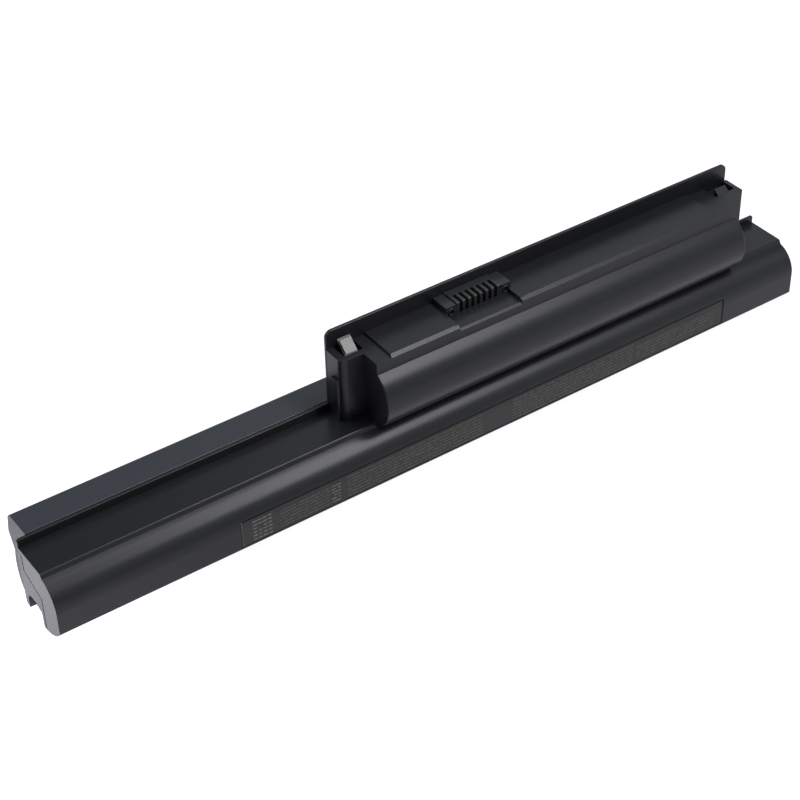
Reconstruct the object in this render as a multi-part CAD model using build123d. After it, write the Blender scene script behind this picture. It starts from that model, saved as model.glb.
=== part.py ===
"""Laptop battery: a four-cell bar with a raised two-cell deck, a locating fin and a blade connector.

Sizes are in millimetres. While it is built, x runs along the bar from its left end, y runs back from
its front face and z runs up from the table. Every piece is then moved so that the origin is at the
bottom centre of the pack.
"""
import os
from math import acos, cos, degrees, radians, sin, sqrt, tan
from build123d import *

# The bar and its section
bar_end_room = 3.25
wall = 1.2
end_wall = 1.5
front_edge_z = 5.2
front_flat_top_z = 12.4
shoulder_radius = 8.6
step_y = 6.4
step_rise = 1.3
step_run = 0.7
ridge_radius = 0.5
floor_z = 22.0
foot_y = 8.6
foot_sag = 1.0
seam_gap = 0.15
seam_low_y = 9.0
seam_low_z = 11.4
seam_high_y = 18.5
seam_high_z = 15.0

# The thin upright plate: a low lip along the bar and a tall fin behind the deck
fin_y = 19.9
fin_thickness = 0.9
lip_height = 2.6
lip_corner = 0.8
fin_height = 27.8
fin_corner = 2.2
fin_edge = 0.25
skirt_step = 0.1

# The rear strip, its nose and the belly under it
strip_gap = 0.3
strip_rise = 2.6
strip_edge = 0.3
nose_y = 31.8
nose_radius = 1.6
nose_under_z = 18.6
belly_y = 28.2
belly_z = 14.2
base_back_y = 16.8
back_foot_y = 20.6
back_foot_z = 1.3
belly_mid = Vector(25.9, 5.6)
rear_left_low = 0.6
rear_left_high = 3.0
rear_right_low = 0.6
rear_right_high = 5.4
rib_thickness = 1.2

# A hollow in the underside of each end, which slides over a rail
notch_front_y = 10.6
notch_width = 8.3
notch_height = 6.6
notch_depth = 1.9
notch_radius = 2.6
notch_wall = 0.8

# The raised deck over the bar
deck_wall = 1.0
deck_end_gap = 14.7
deck_top_z = 43.7
bulge_inset = 7.7
deck_sink = 0.2
bulge_radius = 10.9
bulge_y = 11.3
bulge_z = 30.4
bulge_edge = 0.4
band_y = 5.7
block_front_y = 12.2
left_block_corner = 2.0
right_block_corner = 0.2
right_block_overhang = 0.5
guide_rib = 0.7
guide_rib_y = 13.8
guide_rib_width = 3.0
guide_rib_top_z = 36.6

# The raised panel on the deck
panel_left_margin = 5.2
panel_right_margin = 8.4
panel_rise = 0.75
panel_slope = 1.1
panel_end_slope = 0.3

# The two latch pockets and the metal strike plate in the left one
left_pocket_edge = 2.4
right_pocket_edge = 1.0
left_pocket_length = 6.6
right_pocket_length = 8.2
pocket_front_y = 14.4
pocket_depth = 1.7
left_ramp_edge = 1.4
right_ramp_edge = 2.9
ramp_length = 4.4
left_ramp_y = 15.6
left_ramp_angle = 43.0
right_ramp_y = 13.7
right_ramp_back_y = 15.9
right_ramp_angle = 38.0
plate_length = 3.8
plate_width = 4.3
plate_thickness = 0.5
plate_up_ramp = 0.8

# The connector and the recess that it stands in
connector_from_bulge = 41.5
connector_length = 23.6
connector_front_y = 13.1
connector_top_z = 46.6
connector_clearance = 0.3
recess_drop = 0.5
recess_short = 1.5
recess_floor = 1.0
sill_slope = 0.6
blade_count = 7
blade_pitch = 2.11
blade_slot = 1.1
blade_slot_depth = 4.4
blade_slot_run = 4.0
tooth_radius = 0.5
end_block = 3.7
end_block_drop = 0.4
slit = 0.3
slit_depth = 0.8
screw_mark_radius = 0.95
screw_mark_depth = 0.35
contact_leaf = 0.2
contact_height = 2.2
contact_setback = 1.2
contact_fit = 0.05

# The label film on the front face
label_left = 57.2
label_right_margin = 29.9
label_low = 0.4
label_turn = 16.0
label_depth = 0.2
label_film = 0.16
label_margin = 0.2

# The cells and the nickel straps that join them
cell_diameter = 18.2
cell_length = 65.0
cell_gap = 0.5
cell_clearance = 0.2
button_radius = 3.2
button_height = 0.8
bead_depth = 0.6
bead_width = 1.6
bead_from_end = 4.0
bar_cells = 4
deck_cells = 2
strap = 0.2
strap_width = 3.6
strap_first_z = 2.8
strap_pitch = 4.6
riser_room = 3.4
deck_row_spare = 1.6
riser_width = 1.4
negative_reach = 10.0

# The circuit board and what is soldered to it
board_from_bulge = 9.9
board_length = 72.0
board_thickness = 1.0
board_side_gap = 0.2
board_over_cells = 0.9
ledge = 1.2
gauge_chip = Vector(6.4, 6.4, 1.1)
switch_chip = Vector(5.0, 4.0, 1.0)
switch_count = 2
switch_pitch = 6.4
shunt_size = Vector(6.3, 3.1, 0.7)
fuse_size = Vector(7.0, 4.2, 1.2)
capacitor_size = Vector(1.6, 0.8, 0.8)
capacitor_count = 6
capacitor_pitch = 2.6
thermistor_radius = 0.4
thermistor_length = 3.4

# Sizes that follow from the ones above
overlap = 1.0
fin_back_y = fin_y + fin_thickness
strip_front_y = fin_back_y + strip_gap
strip_z = floor_z + strip_rise
lip_top_z = floor_z + lip_height
fin_top_z = floor_z + fin_height
under_floor_z = floor_z - wall
bar_row = bar_cells * cell_length + (bar_cells - 1) * cell_gap
bar_row_x = bar_end_room
length = bar_row + 2 * bar_end_room
deck_row = deck_cells * cell_length + (deck_cells - 1) * cell_gap
deck_right = length - deck_end_gap
bulge_right = deck_right - bulge_inset
bulge_left = bulge_right - deck_wall - deck_row_spare - deck_row - riser_room - deck_wall
deck_left = bulge_left - bulge_inset
deck_row_x = bulge_left + deck_wall + riser_room
panel_left = bulge_left + panel_left_margin
panel_right = bulge_right - panel_right_margin
connector_x = bulge_left + connector_from_bulge
board_left = bulge_left + board_from_bulge
label_right = length - label_right_margin
panel_top_z = deck_top_z + panel_rise
recess_z = deck_top_z - recess_drop
pocket_floor_z = deck_top_z - pocket_depth
cell_radius = cell_diameter / 2
bar_cell_y = wall + cell_clearance + cell_radius
bar_cell_z = wall + cell_clearance + cell_radius
deck_cell_y = bulge_y - bulge_radius + deck_wall + cell_clearance + cell_radius
deck_cell_z = bulge_z
strap_y = bar_cell_y + cell_radius + strap / 2
board_z = deck_cell_z + cell_radius + board_over_cells
board_top_z = board_z + board_thickness
board_front_y = band_y + deck_wall + board_side_gap
board_back_y = fin_y - board_side_gap
to_origin = Pos(-length / 2, -nose_y / 2, 0)


def block(x0, x1, y0, y1, z0, z1):
    """A box between two corners."""
    return Pos((x0 + x1) / 2, (y0 + y1) / 2, (z0 + z1) / 2) * Box(x1 - x0, y1 - y0, z1 - z0)


def along_bar(face, x0, x1):
    """A section in y and z, drawn out along the bar from x0 to x1."""
    return extrude(Plane.YZ.offset(x0) * face, amount=x1 - x0)


def rounded_at(face, corner, radius):
    """A flat outline with the corner nearest to the given place rounded."""
    nearest = face.vertices().sort_by_distance(corner)[0]
    return fillet(nearest, radius)


def mirrored_in_deck(shape):
    """The same shape at the deck's other end."""
    return mirror(shape, Plane.YZ.offset((deck_left + deck_right) / 2))


def shoulder_point(angle, inset=0.0):
    """A point on the rounded shoulder of the front face, angle degrees up from its start."""
    radius = shoulder_radius - inset
    turn = radians(angle)
    return shoulder_radius - radius * cos(turn), front_flat_top_z + radius * sin(turn)


def front_edges(inset=0.0):
    """The front of the bar's section, from its foot up over the shoulder to the channel's edge."""
    foot = (foot_y, inset)
    edge = (inset, front_edge_z)
    lean = sin(radians(45))
    sag = (foot_y / 2 + (inset - foot_sag) * lean, front_edge_z / 2 + (inset - foot_sag) * lean)
    top_turn = degrees(acos((shoulder_radius - step_y) / shoulder_radius))
    top = shoulder_point(top_turn, inset)
    return [
        ThreePointArc(foot, sag, edge),
        Line(edge, (inset, front_flat_top_z)),
        ThreePointArc((inset, front_flat_top_z), shoulder_point(top_turn / 2, inset), top),
        Line(top, (step_y + step_run + inset, floor_z - inset)),
    ]


def rear_edges(inset=0.0):
    """The rear of the bar's section, from the base round the belly and nose to the strip."""
    lean = sin(radians(45))
    radius = nose_radius - inset
    nose_x = nose_y - nose_radius
    nose_z = strip_z - nose_radius
    nose_mid = (nose_x + radius * lean, nose_z + radius * lean)
    belly = (belly_mid.X - inset * lean, belly_mid.Y + inset * lean)
    under = (nose_y - inset, nose_under_z + inset * lean)
    return [
        Line((base_back_y, inset), (back_foot_y - inset * lean, back_foot_z + inset)),
        ThreePointArc((back_foot_y - inset * lean, back_foot_z + inset), belly, (belly_y - inset, belly_z)),
        Line((belly_y - inset, belly_z), under),
        Line(under, (nose_y - inset, nose_z)),
        ThreePointArc((nose_y - inset, nose_z), nose_mid, (nose_x, strip_z - inset)),
        Line((nose_x, strip_z - inset), (strip_front_y + inset, strip_z - inset)),
    ]


def inner_section():
    """The part of the bar's section that belongs to the inner shell."""
    outline = Polyline(
        (step_y + step_run, floor_z),
        (fin_back_y, floor_z),
        (fin_back_y, under_floor_z),
        (seam_high_y, under_floor_z),
        (seam_high_y, seam_high_z),
        (seam_low_y, seam_low_z),
        (seam_low_y, 0),
        (foot_y, 0),
    )
    face = make_face([*front_edges(), *outline.edges()])
    return rounded_at(face, (step_y + step_run, floor_z, 0), ridge_radius)


def outer_section():
    """The part of the bar's section that belongs to the outer shell."""
    top_z = under_floor_z - seam_gap
    outline = Polyline(
        (strip_front_y, strip_z),
        (strip_front_y, top_z),
        (seam_high_y + seam_gap, top_z),
        (seam_high_y + seam_gap, seam_high_z),
        (seam_low_y + seam_gap, seam_low_z),
        (seam_low_y + seam_gap, 0),
        (base_back_y, 0),
    )
    face = make_face([*rear_edges(), *outline.edges()])
    return rounded_at(face, (strip_front_y, strip_z, 0), strip_edge)


def hollow_section():
    """The hollow in the bar's section, one wall inside both shells."""
    joint = Polyline(
        (strip_front_y + wall, strip_z - wall),
        (strip_front_y + wall, under_floor_z),
        (step_y + step_run + wall, under_floor_z),
    )
    bottom = Line((base_back_y, wall), (foot_y, wall))
    return make_face([*front_edges(wall), *joint.edges(), *rear_edges(wall), bottom])


def end_cutter(low, high, inset):
    """What lies outside the leaning left end of the rear part, moved in by inset."""
    top = strip_z + overlap
    lean = (high - low) / strip_z
    edge = [(low + inset - lean * overlap, -overlap), (low + inset + lean * top, top)]
    outline = Polyline((-length, -overlap), *edge, (-length, top), close=True)
    return Pos(0, nose_y + overlap, 0) * extrude(
        Plane.XZ * make_face(outline.edges()), amount=nose_y + overlap - fin_back_y - seam_gap + inset
    )


def rear_ends(inset=0.0):
    """The cutters for both ends of the rear part."""
    left = end_cutter(rear_left_low, rear_left_high, inset)
    right = mirror(end_cutter(rear_right_low, rear_right_high, inset), Plane.YZ.offset(length / 2))
    return left + right


def bar_cavity():
    """The hollow inside the bar."""
    return along_bar(hollow_section(), end_wall, length - end_wall) - rear_ends(deck_wall)


def upright_plate():
    """The lip and the fin, one thin plate with rounded corners."""
    base_z = under_floor_z
    lip = Polyline((0, base_z), (length, base_z), (length, lip_top_z), (0, lip_top_z), close=True)
    lip_face = make_face(lip.edges())
    lip_face = fillet(lip_face.vertices().group_by(Axis.Y)[-1], lip_corner)
    fin = Polyline(
        (deck_left, base_z),
        (deck_right, base_z),
        (deck_right, fin_top_z),
        (deck_left, fin_top_z),
        close=True,
    )
    fin_face = make_face(fin.edges())
    fin_face = fillet(fin_face.vertices().group_by(Axis.Y)[-1], fin_corner)
    plate = Pos(0, fin_back_y, 0) * extrude(Plane.XZ * (lip_face + fin_face), amount=fin_thickness)
    front = plate.faces().sort_by(Axis.Y)[0]
    foot = front.edges().sort_by(Axis.Z)[0]
    return fillet(front.edges() - [foot], fin_edge)


def skirt_relief():
    """What the plate's back loses below the fin, where the rear strip covers it."""
    top_z = strip_z + seam_gap
    step_back_y = fin_back_y - skirt_step
    return block(-overlap, length + overlap, step_back_y, nose_y, under_floor_z - overlap, top_z)


def deck_section(inset, top_z, low_z):
    """The deck's section: a bulge round the cells with an upright band above it."""
    radius = bulge_radius - inset
    front_y = band_y + inset
    band_low_z = bulge_z + sqrt(radius**2 - (bulge_y - front_y) ** 2)
    start_y = bulge_y - sqrt(radius**2 - (bulge_z - low_z) ** 2)
    outline = Polyline(
        (front_y, band_low_z),
        (front_y, top_z),
        (fin_y, top_z),
        (fin_y, low_z),
        (start_y, low_z),
    )
    bulge = ThreePointArc((start_y, low_z), (bulge_y - radius, bulge_z), (front_y, band_low_z))
    return make_face([bulge, *outline.edges()])


def panel(x0, x1):
    """A raised panel with sloping front and end edges."""
    low = Pos((x0 + x1) / 2, (band_y + fin_y) / 2, deck_top_z)
    high = Pos((x0 + x1) / 2, (band_y + panel_slope + fin_y) / 2, panel_top_z)
    bottom = low * Rectangle(x1 - x0, fin_y - band_y)
    top = high * Rectangle(x1 - x0 - 2 * panel_end_slope, fin_y - band_y - panel_slope)
    return loft([bottom.face(), top.face()])


def end_block_solid(corner, overhang=0.0):
    """The block at the deck's left end, with a rounded corner and a guide rib."""
    end_x = deck_left - overhang
    outline = Polyline(
        (end_x, fin_y),
        (end_x, block_front_y),
        (bulge_left + overlap, block_front_y),
        (bulge_left + overlap, fin_y),
        close=True,
    )
    face = rounded_at(make_face(outline.edges()), (end_x, block_front_y, 0), corner)
    body = Pos(0, 0, under_floor_z) * extrude(face, amount=deck_top_z - under_floor_z)
    rib = block(
        end_x - guide_rib,
        end_x + overlap,
        guide_rib_y,
        guide_rib_y + guide_rib_width,
        under_floor_z,
        guide_rib_top_z,
    )
    return body + rib


def end_block_cavity():
    """The hollow under the left block, below its pocket."""
    return block(
        deck_left + wall,
        bulge_left,
        block_front_y + 1.5 * wall,
        fin_y,
        under_floor_z - overlap,
        pocket_floor_z - wall,
    )


def pocket_floor(edge, span):
    """The material that closes a pocket at the deck's left end towards the inside."""
    return block(
        deck_left + edge - wall,
        deck_left + edge + span + wall,
        pocket_front_y - wall,
        fin_y,
        pocket_floor_z - deck_wall,
        deck_top_z,
    )


def pocket_cut(edge, span):
    """The opening of a pocket at the deck's left end."""
    return block(
        deck_left + edge,
        deck_left + edge + span,
        pocket_front_y,
        fin_y,
        pocket_floor_z,
        panel_top_z,
    )


def pocket_ramp(x0, *profile):
    """The ramp inside a pocket at the deck's left end, from its profile in y and z."""
    outline = Polyline(*profile, close=True)
    return along_bar(make_face(outline.edges()), x0, x0 + ramp_length)


def left_pocket():
    """The left pocket's floor, walls and ramp, which leans on the fin."""
    top_z = pocket_floor_z + (fin_y - left_ramp_y) * tan(radians(left_ramp_angle))
    ramp = pocket_ramp(
        deck_left + left_pocket_edge + left_ramp_edge,
        (left_ramp_y, pocket_floor_z),
        (fin_y, pocket_floor_z),
        (fin_y, top_z),
    )
    opening = pocket_cut(left_pocket_edge, left_pocket_length)
    return pocket_floor(left_pocket_edge, left_pocket_length) - opening + ramp


def right_pocket():
    """The right pocket's floor, walls and ramp, which rises from the deck and stops short of the fin."""
    top_z = deck_top_z + (right_ramp_back_y - right_ramp_y) * tan(radians(right_ramp_angle))
    ramp = pocket_ramp(
        deck_left + right_pocket_edge + right_ramp_edge,
        (right_ramp_y, pocket_floor_z),
        (right_ramp_back_y, pocket_floor_z),
        (right_ramp_back_y, top_z),
        (right_ramp_y, deck_top_z),
    )
    opening = pocket_cut(right_pocket_edge, right_pocket_length)
    return mirrored_in_deck(pocket_floor(right_pocket_edge, right_pocket_length) - opening + ramp)


def label_band(outer, inner, margin):
    """A band that follows the front face between two depths."""
    low = front_edge_z + label_low + margin
    turn = label_turn - margin
    face = make_face(
        [
            Line((outer, low), (outer, front_flat_top_z)),
            ThreePointArc(
                (outer, front_flat_top_z), shoulder_point(turn / 2, outer), shoulder_point(turn, outer)
            ),
            Line(shoulder_point(turn, outer), shoulder_point(turn, inner)),
            ThreePointArc(
                shoulder_point(turn, inner), shoulder_point(turn / 2, inner), (inner, front_flat_top_z)
            ),
            Line((inner, front_flat_top_z), (inner, low)),
            Line((inner, low), (outer, low)),
        ]
    )
    return along_bar(face, label_left + margin, label_right - margin)


def connector_space(clearance, z0, z1):
    """The room that the connector's housing takes, with clearance round it."""
    return block(
        connector_x - connector_length / 2 - clearance,
        connector_x + connector_length / 2 + clearance,
        connector_front_y - clearance,
        fin_y,
        z0,
        z1,
    )


def recess_bounds():
    """The left and right walls of the recess in front of the connector."""
    reach = connector_length / 2 + connector_clearance
    return connector_x - reach, connector_x + reach - recess_short


def deck_cavity():
    """The hollow inside the deck, open to the bar below."""
    x0 = bulge_left + deck_wall
    x1 = bulge_right - deck_wall
    hollow = along_bar(deck_section(deck_wall, deck_top_z - deck_wall, floor_z), x0, x1)
    bay = along_bar(Pos(deck_cell_y, deck_cell_z) * Circle(cell_radius + cell_clearance / 2), x0, x1)
    neck = block(x0, x1, step_y + step_run + wall, fin_y, under_floor_z - overlap, floor_z + overlap)
    under_panel = block(
        panel_left + 2 * wall,
        panel_right - 2 * wall,
        band_y + 2 * wall,
        fin_y,
        deck_top_z - 2 * deck_wall,
        panel_top_z - deck_wall,
    )
    return hollow + bay + neck + under_panel


def board_ledges():
    """The two ledges that carry the circuit board."""
    x1 = board_left + board_length
    front_y = board_front_y + ledge
    back_y = board_back_y - ledge
    front = block(board_left, x1, band_y + deck_wall / 2, front_y, board_z - ledge / 2, board_z)
    back = block(board_left, x1, back_y, fin_y + fin_thickness / 2, board_z - ledge, board_z)
    return front + back


def recess_cut():
    """The recess round the connector, open to the front, with a sloping sill."""
    x0, x1 = recess_bounds()
    open_space = block(x0, x1, band_y - overlap, connector_front_y, recess_z, fin_top_z)
    sill = Polyline(
        (band_y - sill_slope, recess_z - 2 * sill_slope),
        (band_y + sill_slope, recess_z),
        (band_y - sill_slope, recess_z),
        close=True,
    )
    return open_space + along_bar(make_face(sill.edges()), x0, x1)


def recess_material():
    """The floor and side walls of the connector's recess."""
    x0, x1 = recess_bounds()
    return block(
        x0 - wall, x1 + recess_short + wall, band_y + deck_wall, fin_y, recess_z - recess_floor, panel_top_z
    )


def inner_shell():
    """The shell with the front face, the channel, the deck and the fin."""
    body = along_bar(inner_section(), 0, length) + upright_plate() - skirt_relief()
    deck = along_bar(deck_section(0, deck_top_z, floor_z - step_rise - deck_sink), bulge_left, bulge_right)
    body += fillet(deck.edges().filter_by(GeomType.CIRCLE), bulge_edge)
    right_block = end_block_solid(right_block_corner, right_block_overhang)
    body += end_block_solid(left_block_corner) + mirrored_in_deck(right_block)
    body += panel(panel_left, panel_right)
    body -= bar_cavity()
    body -= deck_cavity()
    body -= end_block_cavity() + mirrored_in_deck(end_block_cavity())
    body -= pocket_cut(left_pocket_edge, left_pocket_length)
    body -= mirrored_in_deck(pocket_cut(right_pocket_edge, right_pocket_length))
    body += left_pocket() + right_pocket()
    body += recess_material()
    body -= recess_cut()
    body -= connector_space(connector_clearance / 2, board_z, fin_top_z)
    body += board_ledges()
    return body - label_band(0, label_depth, 0)


def notch(x0, x1, grow):
    """The hollow in the underside of an end, or the material round it when grown."""
    low = -overlap if grow == 0 else 0
    y0 = notch_front_y - grow
    y1 = notch_front_y + notch_width + grow
    crown = notch_height + grow
    outline = Polyline((y0, low), (y1, low), (y1, crown), (y0, crown), close=True)
    face = make_face(outline.edges())
    face = fillet(face.vertices().group_by(Axis.Y)[-1], notch_radius + grow)
    return along_bar(face, x0, x1)


def rear_rib(x):
    """A rib across the rear hollow, behind the straps."""
    front_y = bar_cell_y + cell_radius + 2 * strap + seam_gap
    behind = block(0, length, front_y, nose_y, 0, strip_z)
    return along_bar(outer_section(), x - rib_thickness / 2, x + rib_thickness / 2) & behind


def outer_shell():
    """The shell with the underside, the rounded back and the rear strip."""
    inner_end = notch_depth + notch_wall
    body = along_bar(outer_section(), 0, length) - bar_cavity()
    surround = notch(0, inner_end, notch_wall) + notch(length - inner_end, length, notch_wall)
    body += surround & along_bar(outer_section(), 0, length)
    body -= notch(-overlap, notch_depth, 0) + notch(length - notch_depth, length + overlap, 0)
    for i in range(bar_cells):
        body += rear_rib(bar_row_x + i * (cell_length + cell_gap) + cell_length / 2)
    return body - rear_ends()


def connector_housing():
    """The connector's block, with a slot for each blade and a plain block at each end."""
    x0 = connector_x - connector_length / 2
    x1 = connector_x + connector_length / 2
    back_y = fin_y - connector_clearance / 2
    end_block_z = connector_top_z - end_block_drop
    body = block(x0, x1, connector_front_y, back_y, board_top_z, connector_top_z)
    body = fillet(body.edges().filter_by(Axis.X).group_by(Axis.Z)[-1].sort_by(Axis.Y)[0], tooth_radius)
    for side in (x0, x1):
        inward = 1 if side == x0 else -1
        slit_x = side + inward * end_block
        near, far = sorted((side - inward * overlap, slit_x))
        body -= block(near, far, connector_front_y - overlap, fin_y, end_block_z, fin_top_z)
        body -= block(
            slit_x - slit / 2,
            slit_x + slit / 2,
            connector_front_y - overlap,
            back_y - ledge,
            end_block_z - slit_depth,
            fin_top_z,
        )
        mark = Cylinder(screw_mark_radius, 2 * screw_mark_depth, rotation=(90, 0, 0))
        mark_z = end_block_z - 2 * screw_mark_radius
        body -= Pos(side + inward * end_block / 2, connector_front_y, mark_z) * mark
    for x in blade_places():
        body -= block(
            x - blade_slot / 2,
            x + blade_slot / 2,
            connector_front_y - overlap,
            connector_front_y + blade_slot_run,
            connector_top_z - blade_slot_depth,
            fin_top_z,
        )
        body -= contact_tail(x, contact_fit)
    return body


def blade_places():
    """The middle of each blade slot."""
    first = connector_x - (blade_count - 1) * blade_pitch / 2
    return [first + i * blade_pitch for i in range(blade_count)]


def contact_tail(x, clearance):
    """The tail that takes a contact down through the housing to the board."""
    reach = contact_leaf + clearance
    y = connector_front_y + blade_slot_run / 2
    low_z = connector_top_z - blade_slot_depth
    return block(x - reach, x + reach, y - reach, y + reach, board_top_z, low_z + contact_leaf / 2)


def connector_contacts():
    """One forked spring contact in each slot."""
    low_z = connector_top_z - blade_slot_depth
    half = blade_slot / 2 - contact_fit
    y0 = connector_front_y + contact_setback
    y1 = connector_front_y + blade_slot_run - contact_fit
    contacts = []
    for x in blade_places():
        fork = block(x - half, x + half, y0, y1, low_z, low_z + contact_leaf) + contact_tail(x, 0)
        for side in (-1, 1):
            leaf_x0, leaf_x1 = sorted((x + side * half, x + side * (half - contact_leaf)))
            fork += block(leaf_x0, leaf_x1, y0, y1, low_z, low_z + contact_height)
        contacts.append(fork)
    return Compound(children=contacts)


def strike_plate():
    """The metal plate on the left pocket's ramp."""
    mid_x = deck_left + left_pocket_edge + left_ramp_edge + ramp_length / 2
    ramp = Plane(
        origin=(mid_x, left_ramp_y, pocket_floor_z),
        x_dir=(1, 0, 0),
        z_dir=(0, -sin(radians(left_ramp_angle)), cos(radians(left_ramp_angle))),
    )
    plate = Box(plate_length, plate_width, plate_thickness)
    return ramp * Pos(0, plate_up_ramp + plate_width / 2, plate_thickness / 2) * plate


def cell():
    """One cylindrical cell, lying along x with its button at the right."""
    can = cell_length - button_height
    bead = can - bead_from_end
    outline = Polyline(
        (0, 0),
        (0, cell_radius),
        (bead - bead_width, cell_radius),
        (bead - bead_width / 2, cell_radius - bead_depth),
        (bead, cell_radius),
        (can, cell_radius),
        (can, button_radius),
        (cell_length, button_radius),
        (cell_length, 0),
        close=True,
    )
    return revolve(make_face(outline.edges()), axis=Axis.X)


def placed_cell(index, row_x, y, z, button_right):
    """A cell in its row, turned end for end where its button points left."""
    x = row_x + index * (cell_length + cell_gap)
    if button_right:
        return Pos(x, y, z) * cell()
    return Pos(x + cell_length, y, z) * Rot(0, 0, 180) * cell()


def joint_x(row_x, index):
    """The left face of the strap that lies after the given number of cells."""
    return row_x + index * (cell_length + cell_gap) - cell_gap / 2 - strap / 2


def strap_level(level):
    """The lower edge of a strap's run at one of its levels."""
    return strap_first_z + level * strap_pitch


def run_behind(x0, x1, level):
    """A strap's straight run behind the bar's cells."""
    z0 = strap_level(level)
    return block(x0, x1, strap_y, strap_y + strap, z0, z0 + strap_width)


def bar_tab(x, level):
    """A strap's tab across the end of one of the bar's cells."""
    z0 = strap_level(level)
    return block(x, x + strap, bar_cell_y - cell_radius / 2, strap_y + strap, z0, z0 + strap_width)


def riser(x0, level, top_z):
    """A strap's upright run from the bar into the deck."""
    return block(x0, x0 + riser_width, strap_y, strap_y + strap, strap_level(level), top_z)


def strap_middle_one():
    """The strap along the bar's two ends and its middle joint."""
    left_x = bar_row_x - strap
    right_x = bar_row_x + bar_row
    body = run_behind(left_x, right_x + strap, 0)
    for x in (left_x, joint_x(bar_row_x, 2), right_x):
        body += bar_tab(x, 0)
    return body


def strap_positive():
    """The strap from the first pair's joint up to the board."""
    x = joint_x(bar_row_x, 1)
    x0 = bulge_left + deck_wall + strap
    under_z = board_z - strap
    fold_back_y = board_back_y - ledge - strap
    fold_front_y = fold_back_y - strap_width
    body = bar_tab(x, 2) + run_behind(x, x0 + riser_width, 2) + riser(x0, 2, board_z)
    body += block(x0, x0 + riser_width, fold_front_y, strap_y + strap, under_z, board_z)
    return body + block(x0, board_left + strap_width, fold_front_y, fold_back_y, under_z, board_z)


def deck_end_tab(x):
    """A strap's tab across an outer end of the deck's cells."""
    z1 = deck_cell_z + strap_width
    return block(x, x + strap, deck_cell_y, strap_y + strap, deck_cell_z - strap_width, z1)


def strap_middle_two():
    """The strap from the second pair's joint to both ends of the deck's cells."""
    left_x = deck_row_x - strap
    right_x = deck_row_x + deck_row
    top_z = deck_cell_z + strap_width
    body = bar_tab(joint_x(bar_row_x, 3), 1) + run_behind(deck_row_x - riser_width, right_x + riser_width, 1)
    body += riser(deck_row_x - riser_width, 1, top_z) + riser(right_x, 1, top_z)
    return body + deck_end_tab(left_x) + deck_end_tab(right_x)


def strap_negative():
    """The strap from the deck's middle joint up to the board."""
    x = joint_x(deck_row_x, 1)
    y0 = deck_cell_y - strap_width / 2
    y1 = deck_cell_y + strap_width / 2
    up = block(x, x + strap, y0, y1, deck_cell_z - strap_width, board_z)
    return up + block(x - negative_reach, x + strap, y0, y1, board_z - strap, board_z)


def circuit_board():
    """The board across the top of the deck's cells."""
    return block(board_left, board_left + board_length, board_front_y, board_back_y, board_z, board_top_z)


def on_board(size, x, y):
    """A component of the given size, standing on the board."""
    return Pos(x, y, board_top_z + size.Z / 2) * Box(size.X, size.Y, size.Z)


def board_components():
    """The parts soldered to the board beside the connector, as name and solid."""
    right_x = connector_x + connector_length / 2 + wall + 2 * connector_clearance + ledge
    left_x = connector_x - connector_length / 2 - wall - 2 * connector_clearance - ledge
    mid_y = (board_front_y + board_back_y) / 2
    found = {"gauge_chip": on_board(gauge_chip, right_x + gauge_chip.X / 2, mid_y)}
    for i in range(switch_count):
        chip_x = left_x - switch_chip.X / 2 - i * switch_pitch
        found[f"switch_chip_{i + 1}"] = on_board(switch_chip, chip_x, mid_y)
    shunt_x = right_x + gauge_chip.X + ledge + shunt_size.X / 2
    found["shunt_resistor"] = on_board(shunt_size, shunt_x, mid_y + ledge)
    found["chemical_fuse"] = on_board(fuse_size, shunt_x, mid_y - ledge - fuse_size.Y / 2)
    row = []
    for i in range(capacitor_count):
        x = right_x + capacitor_size.X / 2 + i * capacitor_pitch
        row.append(on_board(capacitor_size, x, board_back_y - capacitor_size.Y))
    found["chip_capacitors"] = Compound(children=row)
    return found


def thermistor():
    """The temperature sensor, lying on a deck cell under the board."""
    bead = Cylinder(thermistor_radius, thermistor_length, rotation=(0, 90, 0))
    return Pos(deck_row_x + cell_length / 2, deck_cell_y, board_z - board_over_cells / 2) * bead


def all_pieces():
    """Every piece of the pack, by name."""
    pieces = {
        "inner_shell": inner_shell(),
        "outer_shell": outer_shell(),
        "connector_housing": connector_housing(),
        "connector_contacts": connector_contacts(),
        "strike_plate": strike_plate(),
        "label_film": label_band(label_depth - label_film, label_depth, label_margin),
        "strap_positive": strap_positive(),
        "strap_middle_one": strap_middle_one(),
        "strap_middle_two": strap_middle_two(),
        "strap_negative": strap_negative(),
        "circuit_board": circuit_board(),
        "thermistor": thermistor(),
    }
    pieces.update(board_components())
    for i, button_right in enumerate((True, False, False, True)):
        pieces[f"bar_cell_{i + 1}"] = placed_cell(i, bar_row_x, bar_cell_y, bar_cell_z, button_right)
    for i, button_right in enumerate((False, True)):
        pieces[f"deck_cell_{i + 1}"] = placed_cell(i, deck_row_x, deck_cell_y, deck_cell_z, button_right)
    return pieces


os.makedirs("parts", exist_ok=True)
for name, piece in all_pieces().items():
    export_step(to_origin * piece, f"parts/{name}.step")
    print(f"{name}: {piece.volume:.1f} cubic mm")
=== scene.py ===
# %% [markdown]
# # A laptop battery pack
# The solids come from the CAD model and keep their shapes. Here they are set on a table, lit and dressed,
# and they get their print, painted light on the label film's edges and two small rims, which are made in
# this file.

# %% Load the battery pack
from math import cos, hypot, radians, sin

import bmesh
import bpy
from mathutils import Matrix, Vector


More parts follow.
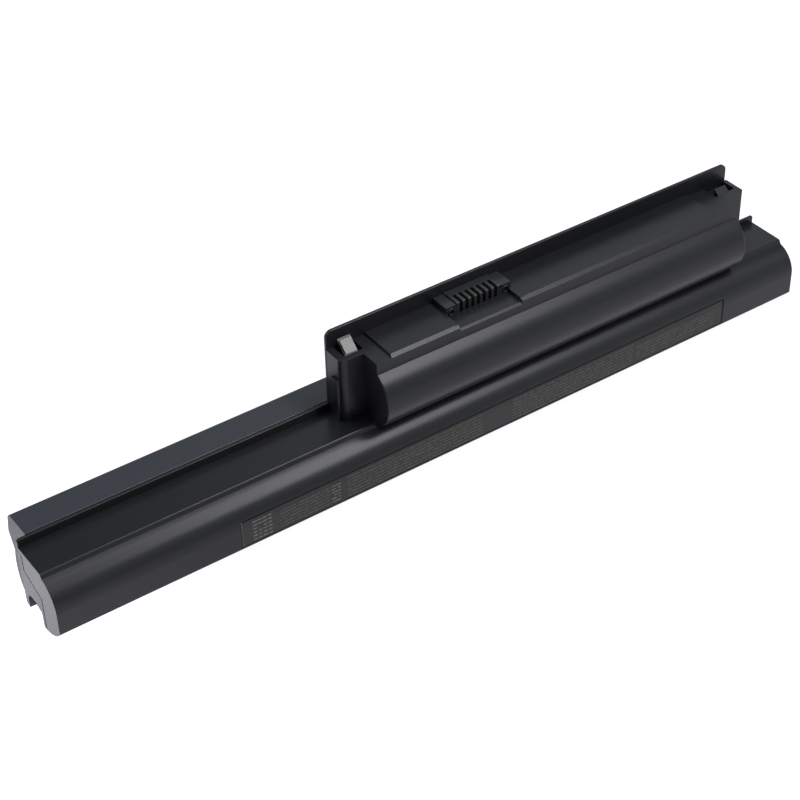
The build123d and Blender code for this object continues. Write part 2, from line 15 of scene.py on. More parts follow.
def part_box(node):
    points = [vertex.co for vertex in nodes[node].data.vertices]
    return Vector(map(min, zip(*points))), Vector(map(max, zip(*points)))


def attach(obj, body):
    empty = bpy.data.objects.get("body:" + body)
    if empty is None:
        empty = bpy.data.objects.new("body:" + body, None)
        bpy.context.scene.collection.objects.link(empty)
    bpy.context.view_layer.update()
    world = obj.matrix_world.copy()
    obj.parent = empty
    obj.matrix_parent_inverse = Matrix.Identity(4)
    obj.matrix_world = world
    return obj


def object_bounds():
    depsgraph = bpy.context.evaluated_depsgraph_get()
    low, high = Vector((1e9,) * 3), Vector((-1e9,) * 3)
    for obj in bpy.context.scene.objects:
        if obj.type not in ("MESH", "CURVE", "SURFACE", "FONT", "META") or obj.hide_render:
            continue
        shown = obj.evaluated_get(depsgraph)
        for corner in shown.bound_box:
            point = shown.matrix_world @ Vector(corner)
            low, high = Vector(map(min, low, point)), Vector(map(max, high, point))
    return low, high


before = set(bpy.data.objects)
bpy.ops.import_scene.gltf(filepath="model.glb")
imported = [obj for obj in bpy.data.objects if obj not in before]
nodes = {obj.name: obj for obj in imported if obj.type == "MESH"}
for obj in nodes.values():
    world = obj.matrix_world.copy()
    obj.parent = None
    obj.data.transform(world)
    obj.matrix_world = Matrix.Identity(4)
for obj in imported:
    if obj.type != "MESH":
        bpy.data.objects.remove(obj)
cad_low, cad_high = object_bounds()
mm = 0.001
print("pack size in mm", [round((b - a) / mm, 1) for a, b in zip(cad_low, cad_high)])

# %% [markdown]
# ## The camera
# A product photograph like this one is taken from above the front left corner with a long lens, so the
# long bar stays nearly parallel. The camera could be aimed with a Track To constraint, but its turn about
# its own axis would be lost. Here its three axes are worked out from a heading, a tilt and a small roll.

# %% Camera from heading, tilt and roll
heading, tilt, roll = radians(34.32), radians(38.17), radians(-1.35)
camera_place = (-0.26538, -0.37224, 0.37208)
lens_length, sensor_width = 86.86, 36
look = Vector((sin(heading) * cos(tilt), cos(heading) * cos(tilt), -sin(tilt)))
level = Vector((cos(heading), -sin(heading), 0))
upright = level.cross(look)
right = level * cos(roll) + upright * sin(roll)
above = upright * cos(roll) - level * sin(roll)
camera_data = bpy.data.cameras.new("camera")
camera_data.lens = lens_length
camera_data.sensor_width = sensor_width
camera = bpy.data.objects.new("camera", camera_data)
bpy.context.scene.collection.objects.link(camera)
turn = Matrix((right, above, -look)).transposed().to_4x4()
camera.matrix_world = Matrix.Translation(camera_place) @ turn
bpy.context.scene.camera = camera
print("camera looks along", [round(v, 3) for v in look])

# %% [markdown]
# ## Building with nodes
# Each finish below is a small tree of nodes. It could be drawn by hand in the shader editor, but written
# as code it can be read, changed and made again. These helpers do the steps that most trees share.

# %% Helpers for node trees
noise_span = (0.3, 0.7)  # most of a noise lies between these


def new_material(name):
    """A material with its node tree and its Principled shader."""
    material = bpy.data.materials.new(name)
    material.use_nodes = True
    return material, material.node_tree, material.node_tree.nodes["Principled BSDF"]


def feed(socket, value):
    """Joins another node's output to an input, or sets a plain value on it."""
    if hasattr(value, "is_output"):
        socket.id_data.links.new(value, socket)
    else:
        socket.default_value = value


def object_place(tree):
    """The place of a point in its object, which doesn't slide when the camera moves."""
    return tree.nodes.new("ShaderNodeTexCoord").outputs["Object"]


def noise(tree, vector, scale, detail=2.0):
    """A noise texture read at the given coordinates."""
    node = tree.nodes.new("ShaderNodeTexNoise")
    for label, value in (("Vector", vector), ("Scale", scale), ("Detail", detail)):
        feed(node.inputs[label], value)
    return node.outputs["Fac"]


def two_tone(tree, value, dark, light, span=noise_span):
    """A colour that runs from dark to light as a value crosses a span."""
    node = tree.nodes.new("ShaderNodeValToRGB")
    for element, position, colour in zip(node.color_ramp.elements, span, (dark, light)):
        element.position = position
        element.color = (*colour, 1)
    feed(node.inputs["Fac"], value)
    return node.outputs["Color"]


# %% [markdown]
# ## The table and the light
# Black satin plastic shows mostly what it reflects. Product tables are often white acrylic lit from below,
# which takes the shadows away, so this one glows evenly, with a painted pool of light beside the near end,
# whose face mirrors it. A narrow soft lamp above the front draws the grey highlight along the rounded front,
# and a large dim screen at the right keeps the rest of that curve from going black. A sphere of lamps would
# flatten the highlight.

# %% Material of the glowing table
near_end = (cad_low[0] - 8 * mm, 12 * mm, 0)
glow_tint = (0.93, 0.93, 1, 1)
cloud_scale, cloud_shade = 3.0, 0.985


def pale_material(name, colour, rough, glow, painted_light_glow, painted_light_place, painted_light_radius):
    """A pale surface that glows evenly, with a painted pool of light in a round patch, for what the pack
    stands on.
    """
    material, tree, shader = new_material(name)
    place = object_place(tree)
    centred = tree.nodes.new("ShaderNodeMapping")
    feed(centred.inputs["Vector"], place)
    feed(centred.inputs["Location"], [-c / painted_light_radius for c in painted_light_place])
    feed(centred.inputs["Scale"], [1 / painted_light_radius] * 3)
    # The round patch is a painted pool of light, for the near end face to mirror.
    painted_light_pool = tree.nodes.new("ShaderNodeTexGradient")
    painted_light_pool.gradient_type = "SPHERICAL"
    feed(painted_light_pool.inputs["Vector"], centred.outputs["Vector"])
    strength = tree.nodes.new("ShaderNodeMapRange")
    feed(strength.inputs["Value"], painted_light_pool.outputs["Fac"])
    feed(strength.inputs["To Min"], glow)
    feed(strength.inputs["To Max"], painted_light_glow)
    cloud = noise(tree, place, cloud_scale)
    shaded = [cloud_shade * c for c in colour]
    feed(shader.inputs["Base Color"], two_tone(tree, cloud, shaded, colour, span=(0, 1)))
    feed(shader.inputs["Roughness"], rough)
    feed(shader.inputs["Emission Color"], glow_tint)
    feed(shader.inputs["Emission Strength"], strength.outputs["Result"])
    return material


table_white = pale_material(
    "table_white", (0.10, 0.10, 0.10), rough=0.6,
    glow=1.03, painted_light_glow=1.9, painted_light_place=near_end, painted_light_radius=70 * mm,
)
print("table material", table_white.name, "with", len(table_white.node_tree.nodes), "nodes")

# %% Table
table_half = 4.0
corners = [(-1, -1), (1, -1), (1, 1), (-1, 1)]
table_mesh = bpy.data.meshes.new("table")
table_mesh.from_pydata([(table_half * x, table_half * y, 0) for x, y in corners], [], [(0, 1, 2, 3)])
table_mesh.materials.append(table_white)
table = bpy.data.objects.new("table", table_mesh)
bpy.context.scene.collection.objects.link(table)
print("table", 2 * table_half, "m square")


# %% Lamps and room light
def soft_lamp(name, place, aim, size, watts, colour=(1, 1, 1)):
    """A soft lamp at a place, facing a point, with its width along the pack."""
    data = bpy.data.lights.new(name, "AREA")
    data.shape = "RECTANGLE"
    data.size, data.size_y = size
    data.energy = watts
    data.color = colour
    lamp = bpy.data.objects.new(name, data)
    away = (Vector(place) - Vector(aim)).normalized()
    across = (Vector((1, 0, 0)) - away * away.x).normalized()
    axes = Matrix((across, away.cross(across), away)).transposed().to_4x4()
    lamp.matrix_world = Matrix.Translation(place) @ axes
    bpy.context.scene.collection.objects.link(lamp)
    return lamp


lamps = [
    soft_lamp(
        "front_lamp", place=(0.31, -0.299, 0.713), aim=(-0.05, 0, 0.02),
        size=(0.18, 0.70), watts=6.5, colour=(0.95, 0.95, 1),
    ),
    soft_lamp(
        "right_screen", place=(0.81, -1.26, 0.90), aim=(0, 0, 0.03),
        size=(2.2, 1.8), watts=9.3, colour=(0.94, 0.95, 1),
    ),
    soft_lamp("top_lamp", place=(-0.15, 0.05, 1.20), aim=(-0.05, 0, 0), size=(0.9, 0.9), watts=6.0),
    soft_lamp("left_lamp", place=(-0.55, 0.42, 0.50), aim=(-0.16, 0.05, 0), size=(0.4, 0.4), watts=2.4),
    soft_lamp(
        "back_lamp", place=(0.72, 0.80, 0.78), aim=(0, 0, 0.03),
        size=(0.7, 0.7), watts=1.2, colour=(0.9, 0.95, 1),
    ),
]
room_tint, room_strength = (0.88, 0.93, 1, 1), 0.25
world = bpy.data.worlds.new("studio")
world.use_nodes = True
feed(world.node_tree.nodes["Background"].inputs["Color"], room_tint)
feed(world.node_tree.nodes["Background"].inputs["Strength"], room_strength)
bpy.context.scene.world = world
bpy.context.scene.view_settings.view_transform = "Standard"
print("lamps", [lamp.name for lamp in lamps])

# %% [markdown]
# ## A moulded surface
# The tool that moulds a battery case is spark eroded, which leaves a very fine even grain in the plastic.
# Real geometry for it would need millions of faces, so it is a bump. The case, the connector and the
# chips all have it at their own scale, and the film, the inks and the inner parts use its masks. So it is
# built once, as a node group that puts out a height, a mask for slow drift across the piece, and a normal.

# %% Group for moulded grain
grain_height = 0.04 * mm
pit_detail = 3.0


def group(name, inputs, outputs):
    """An empty shader group with named sockets: its tree, what it is given and what it puts out."""
    tree = bpy.data.node_groups.new(name, "ShaderNodeTree")
    for label, kind, value in inputs:
        socket = tree.interface.new_socket(label, in_out="INPUT", socket_type=kind)
        socket.default_value = value
    for label, kind in outputs:
        tree.interface.new_socket(label, in_out="OUTPUT", socket_type=kind)
    return tree, tree.nodes.new("NodeGroupInput").outputs, tree.nodes.new("NodeGroupOutput").inputs


def bump(tree, height, strength, distance):
    """A normal that makes a surface look as uneven as a height says."""
    node = tree.nodes.new("ShaderNodeBump")
    for label, value in (("Height", height), ("Strength", strength), ("Distance", distance)):
        feed(node.inputs[label], value)
    return node.outputs["Normal"]


grain, grain_given, grain_made = group(
    "moulded_grain",
    [
        ("Grain Scale", "NodeSocketFloat", 4000.0),
        ("Drift Scale", "NodeSocketFloat", 18.0),
        ("Depth", "NodeSocketFloat", 0.2),
    ],
    [("Grain", "NodeSocketFloat"), ("Drift", "NodeSocketFloat"), ("Normal", "NodeSocketVector")],
)
grain_place = object_place(grain)
pits = noise(grain, grain_place, grain_given["Grain Scale"], pit_detail)
feed(grain_made["Grain"], pits)
feed(grain_made["Drift"], noise(grain, grain_place, grain_given["Drift Scale"]))
feed(grain_made["Normal"], bump(grain, pits, grain_given["Depth"], grain_height))
print("group", grain.name, "with", len(grain.nodes), "nodes")

# %% [markdown]
# ## A rolled surface
# The strike plate, the nickel straps and the contacts are cut from rolled sheet, which has fine lines
# along the rolling direction. Stretching a noise along one axis draws them, and the group serves all
# three metals, each with its own stretch.

# %% Group for rolled lines
line_height = 0.03 * mm
line_detail = 3.0
rolled, rolled_given, rolled_made = group(
    "rolled_lines",
    [("Stretch", "NodeSocketVector", (200.0, 6000.0, 6000.0)), ("Depth", "NodeSocketFloat", 0.1)],
    [("Lines", "NodeSocketFloat"), ("Normal", "NodeSocketVector")],
)
stretch = rolled.nodes.new("ShaderNodeVectorMath")
stretch.operation = "MULTIPLY"
feed(stretch.inputs[0], object_place(rolled))
feed(stretch.inputs[1], rolled_given["Stretch"])
lines = noise(rolled, stretch.outputs["Vector"], 1.0, line_detail)
feed(rolled_made["Lines"], lines)
feed(rolled_made["Normal"], bump(rolled, lines, rolled_given["Depth"], line_height))
print("group", rolled.name, "with", len(rolled.nodes), "nodes")

# %% [markdown]
# ## The joint between the shells
# The two shells meet in a hairline joint that steps down across each end face. Light doesn't come back out
# of it, so it reads as a thin dark line. The gap itself is in the solids; this group puts out a mask of
# painted shade beside it, which both shells use to stop shining there. The joint's place across the pack
# follows from the
# height: straight up, then a slope, then straight up again, which one clamped range gives.

# %% Group for the joint's shade, and the joint's line
slope_foot = (9.0 * mm, 11.4 * mm)  # back from the front face, and up from the table
slope_head = (18.5 * mm, 15.0 * mm)
joint_top = 20.5 * mm
joint, joint_given, joint_made = group(
    "joint_shade", [("Half Width", "NodeSocketFloat", 0.25 * mm)], [("Open", "NodeSocketFloat")]
)


def arithmetic(tree, operation, *terms):
    """One step of arithmetic in a tree, on values or on other nodes' outputs."""
    node = tree.nodes.new("ShaderNodeMath")
    node.operation = operation
    for socket, term in zip(node.inputs, terms):
        feed(socket, term)
    return node.outputs[0]


joint_axes = joint.nodes.new("ShaderNodeSeparateXYZ")
feed(joint_axes.inputs[0], object_place(joint))
joint_y, joint_z = joint_axes.outputs["Y"], joint_axes.outputs["Z"]
joint_line = joint.nodes.new("ShaderNodeMapRange")
feed(joint_line.inputs["Value"], joint_z)
for end, (back, up) in (("Min", slope_foot), ("Max", slope_head)):
    feed(joint_line.inputs["From " + end], up)
    feed(joint_line.inputs["To " + end], cad_low[1] + back)
beside = arithmetic(joint, "SUBTRACT", joint_y, joint_line.outputs["Result"])
over_foot = arithmetic(joint, "GREATER_THAN", joint_z, slope_foot[1])
under_head = arithmetic(joint, "LESS_THAN", joint_z, slope_head[1])
on_slope = arithmetic(joint, "MULTIPLY", over_foot, under_head)
print("group", joint.name, "knows the line with", len(joint.nodes), "nodes")

# %% Shade beside the joint's line
# On the slope, the same width measured straight back is longer.
slope_run, slope_rise = slope_head[0] - slope_foot[0], slope_head[1] - slope_foot[1]
slope_stretch = hypot(slope_run, slope_rise) / slope_rise - 1
stretch_here = arithmetic(joint, "MULTIPLY_ADD", on_slope, slope_stretch, 1.0)
half_width = arithmetic(joint, "MULTIPLY", joint_given["Half Width"], stretch_here)
near_joint = arithmetic(joint, "LESS_THAN", arithmetic(joint, "ABSOLUTE", beside), half_width)
below_top = arithmetic(joint, "LESS_THAN", joint_z, joint_top)
in_shade = arithmetic(joint, "MULTIPLY", near_joint, below_top)
feed(joint_made["Open"], arithmetic(joint, "SUBTRACT", 1.0, in_shade))
print("group", joint.name, "with", len(joint.nodes), "nodes")

# %% [markdown]
# ## The black plastics
# Both shells are the same black plastic, but the outer shell, which shows on the finished computer, has
# a coarser grain and so looks greyer and softer than the inner one. The connector is a harder plastic
# with a finer finish, and the chips' cases are moulded too. All share one recipe and differ in its values.


# %% Recipe for a grained finish
def place_group(tree, source, **values):
    """One of the shared groups in a material, with its own values."""
    node = tree.nodes.new("ShaderNodeGroup")
    node.node_tree = source
    for label, value in values.items():
        feed(node.inputs[label.replace("_", " ").title()], value)
    return node


def ranged(tree, value, low, high):
    """A noise spread over a new range."""
    node = tree.nodes.new("ShaderNodeMapRange")
    ends = zip(("From Min", "From Max", "To Min", "To Max"), (*noise_span, low, high))
    for label, end in ends:
        feed(node.inputs[label], end)
    feed(node.inputs["Value"], value)
    return node.outputs["Result"]


plain_shine = 0.5  # the shader's own value


def grained(name, dark, light, rough, shine=plain_shine, depth=None, **scales):
    """A finish whose tone drifts slowly and whose gloss follows the grain, with a bump if it has a depth."""
    material, tree, shader = new_material(name)
    surface = place_group(tree, grain, **scales)
    feed(shader.inputs["Base Color"], two_tone(tree, surface.outputs["Drift"], dark, light))
    feed(shader.inputs["Roughness"], ranged(tree, surface.outputs["Grain"], *rough))
    feed(shader.inputs["Specular IOR Level"], shine)
    if depth is not None:
        feed(surface.inputs["Depth"], depth)
        feed(shader.inputs["Normal"], surface.outputs["Normal"])
    return material


# %% Plastic materials
plastic_shine = 0.23
inner_plastic = grained(
    "inner_shell_plastic", (0.0062, 0.0066, 0.0076), (0.0078, 0.0083, 0.0094),
    rough=(0.27, 0.36), shine=plastic_shine, depth=0.12, grain_scale=5200,
)
outer_plastic = grained(
    "outer_shell_plastic", (0.0202, 0.0226, 0.0272), (0.0244, 0.0273, 0.0325),
    rough=(0.31, 0.40), shine=plastic_shine, depth=0.3, grain_scale=3600,
)
hard_plastic = grained(
    "connector_plastic", (0.0112, 0.0126, 0.0127), (0.0142, 0.0158, 0.0159),
    rough=(0.25, 0.33), shine=plastic_shine, depth=0.06, grain_scale=7000,
)
chip_plastic = grained(
    "chip_plastic", (0.018, 0.018, 0.019), (0.028, 0.028, 0.029),
    rough=(0.45, 0.6), shine=plastic_shine, depth=0.3, grain_scale=9000,
)
# Both shells stop shining in the painted shade beside the joint.
for shell_plastic in (inner_plastic, outer_plastic):
    shell_tree = shell_plastic.node_tree
    open_here = place_group(shell_tree, joint).outputs["Open"]
    shine_here = arithmetic(shell_tree, "MULTIPLY", open_here, plastic_shine)
    feed(shell_tree.nodes["Principled BSDF"].inputs["Specular IOR Level"], shine_here)
print("plastics", [m.name for m in (inner_plastic, outer_plastic, hard_plastic, chip_plastic)])


# %% [markdown]
# ## The metals
# The strike plate is a piece of satin steel that the latch slides over, the straps are pale nickel, and
# the contacts are flashed with gold. All are full metals with rolled lines in the roughness.

# %% Metal materials
def rolled_metal(name, dark, light, rough, stretch_by, depth):
    """Sheet metal with fine lines along its rolling direction."""
    material, tree, shader = new_material(name)
    surface = place_group(tree, rolled, stretch=stretch_by, depth=depth)
    feed(shader.inputs["Base Color"], two_tone(tree, surface.outputs["Lines"], dark, light))
    feed(shader.inputs["Roughness"], ranged(tree, surface.outputs["Lines"], *rough))
    feed(shader.inputs["Normal"], surface.outputs["Normal"])
    feed(shader.inputs["Metallic"], 1.0)
    return material


strike_steel = rolled_metal(
    "strike_steel", (0.096, 0.093, 0.086), (0.130, 0.125, 0.116),
    rough=(0.45, 0.58), stretch_by=(300, 5000, 5000), depth=0.1,
)
nickel = rolled_metal(
    "strap_nickel", (0.60, 0.58, 0.53), (0.70, 0.68, 0.63),
    rough=(0.25, 0.4), stretch_by=(300, 300, 5000), depth=0.08,
)
gold = rolled_metal(
    "contact_gold", (0.48, 0.40, 0.21), (0.60, 0.51, 0.29),
    rough=(0.2, 0.32), stretch_by=(6000, 6000, 400), depth=0.05,
)
print("metals", [m.name for m in (strike_steel, nickel, gold)])

# %% [markdown]
# ## The label film and its inks
# The label is a thin matt film in a shallow bed, a little lighter and warmer than the plastic. Its
# finish is a soft mottle, much coarser than the moulded grain, as printed film has. The inks are matt too,
# thin in places and full in others, so no two dashes of the print have quite the same tone.

# %% Film and inks
label_film = grained(
    "label_film", (0.0165, 0.0160, 0.0150), (0.0205, 0.0198, 0.0186),
    rough=(0.42, 0.52), shine=0.2, depth=0.08, grain_scale=1800, drift_scale=60,
)


def matt_marking(name, thin, full, shine):
    """A matt finish, thin in places and full in others, for print and for painted light on the film's edges.
    """
    return grained(name, thin, full, rough=(0.55, 0.68), shine=shine, grain_scale=2600, drift_scale=900)


# The print's ink also draws a painted highlight down the film's left edge.
ink_and_glint = matt_marking("ink_and_glint", (0.036, 0.032, 0.025), (0.069, 0.062, 0.049), shine=0.4)
bold_ink = matt_marking("bold_ink", (0.060, 0.056, 0.048), (0.115, 0.107, 0.094), shine=0.4)
# The near-black edge finish is not print: it is painted shade along the film's top and right edges, where
# the film sits in its bed.
painted_edge_shade = matt_marking("painted_edge_shade", (0.003, 0.003, 0.003), (0.005, 0.005, 0.005), shine=0.05)
print("label materials", [m.name for m in (label_film, ink_and_glint, bold_ink, painted_edge_shade)])

# %% [markdown]
# ## What is inside
# Nothing inside shows while the case is closed, but the pieces are there for anyone who opens it: cells
# in a shrink sleeve, a green board with a solder mask, and small ceramic parts. Each gets a simple
# finish of its own.

# %% Inner materials
sleeve = grained(
    "cell_sleeve", (0.045, 0.14, 0.20), (0.06, 0.19, 0.26),
    rough=(0.2, 0.3), grain_scale=900, drift_scale=120,
)
board = grained(
    "board_laminate", (0.010, 0.075, 0.030), (0.016, 0.12, 0.05),
    rough=(0.25, 0.35), grain_scale=2500, drift_scale=350,
)
ceramic = grained(
    "fired_ceramic", (0.33, 0.25, 0.17), (0.45, 0.36, 0.26),
    rough=(0.45, 0.6), grain_scale=6000, drift_scale=500,
)
print("inner materials", [m.name for m in (sleeve, board, ceramic)])

# %% [markdown]
# ## Dressing the solids
# Each solid from the CAD model keeps its shape and only trades its plain finish for one of these. A
# table from material to pieces makes it easy to see what is made of what.

# %% Materials on the solids
finish_of = {
    inner_plastic: ["inner_shell"],
    outer_plastic: ["outer_shell"],
    hard_plastic: ["connector_housing"],
    gold: ["connector_contacts"],
    strike_steel: ["strike_plate"],
    label_film: ["label_film"],
    sleeve: [n for n in nodes if n.startswith(("bar_cell", "deck_cell"))],
    nickel: [n for n in nodes if n.startswith("strap_")],
    board: ["circuit_board"],
    chip_plastic: ["gauge_chip", "switch_chip_1", "switch_chip_2", "shunt_resistor", "chemical_fuse"],
    ceramic: ["chip_capacitors", "thermistor"],
}
for material, names in finish_of.items():
    for name in names:
        nodes[name].data.materials.clear()
        nodes[name].data.materials.append(material)
print("dressed", sum(len(names) for names in finish_of.values()), "of", len(nodes), "solids")

# %% [markdown]
# ## Rows of print
# A label on a real pack carries small pale print in blocks of short lines. Here each block is rows of
# plain dashes that say nothing. A Geometry Nodes tree lays one dash on every point of a grid, bends the
# grid over the rounded shoulder, gives each dash its own length and leaves some out, so the rows read as
# print from a distance. Doing it by hand would take over a thousand copies.

# %% Sizes and inputs of the tree for a block of dashes
shoulder_radius, flat_top = 8.6 * mm, 12.4 * mm
film_low, film_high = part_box("label_film")
front_y = cad_low[1]
dash_depth = 0.024 * mm
face_radius = shoulder_radius - (film_low[1] - front_y) + dash_depth / 2
dash_rows = bpy.data.node_groups.new("dash_rows", "GeometryNodeTree")
for label, kind in (
    ("Columns", "Int"), ("Rows", "Int"), ("Left", "Float"), ("Low", "Float"), ("Pitch", "Float"),
    ("Row Pitch", "Float"), ("Length", "Float"), ("Height", "Float"), ("Missing", "Float"),
    ("Spread", "Float"), ("Seed", "Int"), ("Ink", "Material"),
):
    dash_rows.interface.new_socket(label, in_out="INPUT", socket_type="NodeSocket" + kind)
dash_rows.interface.new_socket("Geometry", in_out="OUTPUT", socket_type="NodeSocketGeometry")
given = dash_rows.nodes.new("NodeGroupInput").outputs
made = dash_rows.nodes.new("NodeGroupOutput").inputs
print("dashes lie on a radius of", round(face_radius / mm, 2), "mm")


# %% Where each dash lies
def calc(operation, *terms):
    """One step of arithmetic in the tree of dashes."""
    return arithmetic(dash_rows, operation, *terms)


def triple(x, y, z):
    """Three values as one vector."""
    node = dash_rows.nodes.new("ShaderNodeCombineXYZ")
    for socket, value in zip(node.inputs, (x, y, z)):
        feed(socket, value)
    return node.outputs[0]


mid_cell = 0.5
rounding_guard = 0.001  # keeps the first dash of a row from being counted in the row before
index = dash_rows.nodes.new("GeometryNodeInputIndex").outputs[0]
column = calc("MODULO", index, given["Columns"])
row = calc("FLOOR", calc("DIVIDE", calc("ADD", index, rounding_guard), given["Columns"]))
along = calc("ADD", given["Left"], calc("MULTIPLY", calc("ADD", column, mid_cell), given["Pitch"]))
up_face = calc("ADD", given["Low"], calc("MULTIPLY", calc("ADD", row, mid_cell), given["Row Pitch"]))
bend = calc("DIVIDE", calc("MAXIMUM", calc("SUBTRACT", up_face, flat_top), 0.0), face_radius)
bent_out = calc("MULTIPLY", calc("COSINE", bend), face_radius)
bent_up = calc("MULTIPLY", calc("SINE", bend), face_radius)
set_back = calc("SUBTRACT", front_y + shoulder_radius, bent_out)
height = calc("ADD", calc("MINIMUM", up_face, flat_top), bent_up)
points = dash_rows.nodes.new("GeometryNodePoints")
feed(points.inputs["Count"], calc("MULTIPLY", given["Columns"], given["Rows"]))
feed(points.inputs["Position"], triple(along, set_back, height))
print("tree", dash_rows.name, "places its points with", len(dash_rows.nodes), "nodes")


# %% One dash on each point
def chance(kind, **values):
    """A random value with a fixed seed."""
    node = dash_rows.nodes.new("FunctionNodeRandomValue")
    node.data_type = kind
    for socket in node.inputs:
        if socket.enabled and socket.name in values:
            feed(socket, values[socket.name])
    return next(socket for socket in node.outputs if socket.enabled)


seed_step = 7.0  # so that a dash's length says nothing of whether it is left out
dash = dash_rows.nodes.new("GeometryNodeMeshCube")
feed(dash.inputs["Size"], triple(given["Length"], dash_depth, given["Height"]))
lean = dash_rows.nodes.new("FunctionNodeEulerToRotation")
feed(lean.inputs[0], triple(calc("MULTIPLY", bend, -1.0), 0.0, 0.0))
least = calc("SUBTRACT", 1.0, given["Spread"])
shortest = triple(least, 1.0, least)
longest = triple(calc("ADD", 1.0, given["Spread"]), 1.0, 1.0)
kept = calc("SUBTRACT", 1.0, given["Missing"])
kept_seed = calc("ADD", given["Seed"], seed_step)
stamp = dash_rows.nodes.new("GeometryNodeInstanceOnPoints")
feed(stamp.inputs["Points"], points.outputs[0])
feed(stamp.inputs["Instance"], dash.outputs["Mesh"])
feed(stamp.inputs["Rotation"], lean.outputs[0])
feed(stamp.inputs["Scale"], chance("FLOAT_VECTOR", Min=shortest, Max=longest, Seed=given["Seed"]))
feed(stamp.inputs["Selection"], chance("BOOLEAN", Probability=kept, Seed=kept_seed))
solid = dash_rows.nodes.new("GeometryNodeRealizeInstances")
feed(solid.inputs[0], stamp.outputs[0])
inked = dash_rows.nodes.new("GeometryNodeSetMaterial")
feed(inked.inputs["Geometry"], solid.outputs[0])
feed(inked.inputs["Material"], given["Ink"])
feed(made["Geometry"], inked.outputs[0])
print("tree", dash_rows.name, "with", len(dash_rows.nodes), "nodes")


# %% From blocks of dashes to a printed piece
def dash_block(ink, seed, left, right, low, rows, pitch, row_pitch, size, missing=0.0, spread=0.0):
    """One block of dashes as a plain mesh, with its places in mm along the pack and up its face."""
    holder = bpy.data.objects.new("dash_block", bpy.data.meshes.new("dash_block"))
    bpy.context.scene.collection.objects.link(holder)
    modifier = holder.modifiers.new("dash_rows", "NODES")
    modifier.node_group = dash_rows
    values = {
        "Columns": max(1, round((right - left) / pitch)), "Rows": rows, "Left": cad_low[0] + left * mm,
        "Low": low * mm, "Pitch": pitch * mm, "Row Pitch": row_pitch * mm, "Length": size[0] * mm,
        "Height": size[1] * mm, "Missing": missing, "Spread": spread, "Seed": seed, "Ink": ink,
    }
    for item in dash_rows.interface.items_tree:
        if item.in_out == "INPUT":
            modifier[item.identifier] = values[item.name]
    depsgraph = bpy.context.evaluated_depsgraph_get()
    mesh = bpy.data.meshes.new_from_object(holder.evaluated_get(depsgraph), depsgraph=depsgraph)
    holder.modifiers.remove(modifier)
    bpy.data.objects.remove(holder)
    return mesh


def finished(name, shape, material):
    """Makes a finished piece of a bmesh, riding on the pack."""
    mesh = bpy.data.meshes.new(name)
    shape.to_mesh(mesh)
    shape.free()
    mesh.materials.append(material)
    piece = bpy.data.objects.new(name, mesh)
    bpy.context.scene.collection.objects.link(piece)
    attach(piece, "root")
    print(name, len(mesh.polygons), "faces")


def dashed_piece(name, ink, blocks):
    """Joins blocks of dashes into one piece."""
    joined = bmesh.new()
    for block in blocks:
        mesh = dash_block(ink, **block)
        joined.from_mesh(mesh)
        bpy.data.meshes.remove(mesh)
    finished(name, joined, ink)


# %% [markdown]
# ## The blocks on the label
# The print stands in six blocks, two of them bold. A painted highlight runs down the film's left edge, and
# painted shade runs down its right edge and along its top. All come from the same tree: a line is a block of
# one column, and the shade along the top is one long dash. Places are in mm, along the pack from its left
# end and up its front face.

# %% Blocks of print on the label, and painted light on the film's edges
wide_dash = dict(pitch=1.65, row_pitch=1.3, size=(1.3, 0.52), missing=0.2, spread=0.26)
middle_dash = dict(pitch=0.75, row_pitch=1.15, size=(0.6, 0.46), missing=0.15, spread=0.24)
small_dash = dict(pitch=0.55, row_pitch=1.15, size=(0.42, 0.40), missing=0.15, spread=0.3)
dashed_piece("bold_print", bold_ink, [
    dict(seed=3, left=61.0, right=67.6, low=6.0, rows=6, **wide_dash),
    dict(seed=7, left=87.6, right=90.6, low=6.3, rows=6, **middle_dash),
])

film_left, film_right = [(edge - cad_low[0]) / mm for edge in (film_low[0], film_high[0])]
line_gap, line_width, line_low = 0.1, 0.3, 5.85
glint_start = film_left + line_gap
dashed_piece("label_print_and_glint", ink_and_glint, [
    dict(seed=5, left=70.0, right=86.8, low=6.3, rows=6, **small_dash),
    dict(seed=11, left=93.2, right=141.7, low=5.9, rows=7, **small_dash),
    dict(seed=17, left=152.9, right=200.0, low=5.9, rows=7, **small_dash),
    dict(seed=23, left=201.7, right=234.0, low=6.6, rows=5, **small_dash),
    # A painted highlight down the film's left edge, in the print's ink.
    dict(
        seed=31, left=glint_start, right=glint_start + line_width, low=line_low, rows=29,
        pitch=line_width, row_pitch=0.3, size=(0.25, 0.28),
    ),
])
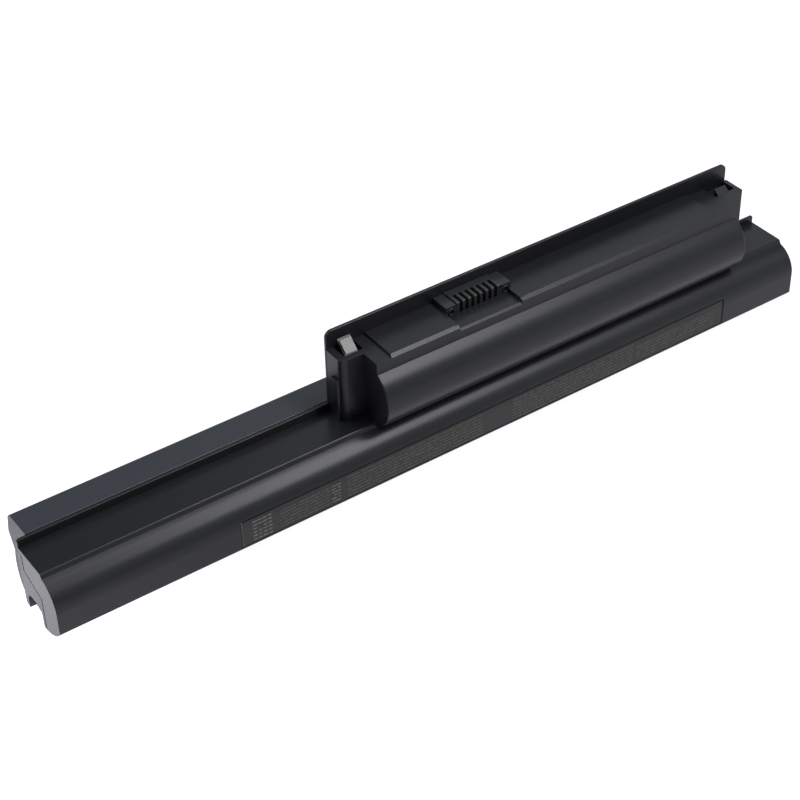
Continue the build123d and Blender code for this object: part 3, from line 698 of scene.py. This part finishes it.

# Painted shade along the film's top edge, where it meets its bed.
top_shade_left_gap, top_shade_right_gap = 0.5, 0.45
top_shade_left, top_shade_right = film_left + top_shade_left_gap, film_right - top_shade_right_gap
top_shade_run, top_shade_low, top_shade_width = top_shade_right - top_shade_left, 14.38, 0.34
shade_line_end = film_right - line_gap
dashed_piece("painted_film_shade", painted_edge_shade, [
    dict(
        seed=37, left=top_shade_left, right=top_shade_right, low=top_shade_low, rows=1,
        pitch=top_shade_run, row_pitch=top_shade_width, size=(top_shade_run, top_shade_width),
    ),
    # Painted shade down the film's right edge.
    dict(
        seed=41, left=shade_line_end - line_width, right=shade_line_end, low=line_low, rows=30,
        pitch=line_width, row_pitch=0.295, size=(0.25, 0.275),
    ),
])


# %% [markdown]
# ## Rims on the connector
# Each end block of the connector has a small round hole that steers the computer's plug, with a raised rim
# moulded round it. The rounded rim catches the light as a small ring. It is a ring of the connector's own
# plastic, turned from a few points round the hole's axis, which is simpler than bending a tube.

# %% Guide rims
def turned_rim(shape, centre, inner, outer, rise, sink, turns=40, steps=8):
    """Adds a rounded closed ring round an axis along Y, standing out of the front of a block."""
    middle, reach = (inner + outer) / 2, (outer - inner) / 2
    bows = [radians(180 * i / steps) for i in range(steps + 1)]
    arch = [(middle + reach * cos(bow), -rise * sin(bow)) for bow in bows]
    section = [*arch, (inner, sink), (outer, sink)]
    rings = []
    for i in range(turns):
        out, up = cos(radians(360 * i / turns)), sin(radians(360 * i / turns))
        spots = [(centre[0] + r * out, centre[1] + y, centre[2] + r * up) for r, y in section]
        rings.append([shape.verts.new(spot) for spot in spots])
    for i, ring in enumerate(rings):
        after = rings[(i + 1) % turns]
        for j in range(len(section)):
            k = (j + 1) % len(section)
            shape.faces.new((ring[j], ring[k], after[k], after[j])).smooth = True
    bmesh.ops.recalc_face_normals(shape, faces=shape.faces)


housing_low, housing_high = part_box("connector_housing")
hole_inset, hole_drop, hole_radius = 1.85 * mm, 2.3 * mm, 0.95 * mm
rim_overhang, rim_land, rim_rise, rim_sink = 0.2 * mm, 0.3 * mm, 0.3 * mm, 0.02 * mm
rim_inner, rim_outer = hole_radius - rim_overhang, hole_radius + rim_land
rims = bmesh.new()
for x in (housing_low[0] + hole_inset, housing_high[0] - hole_inset):
    hole = (x, housing_low[1], housing_high[2] - hole_drop)
    turned_rim(rims, hole, rim_inner, rim_outer, rim_rise, rim_sink)
finished("guide_rims", rims, hard_plastic)
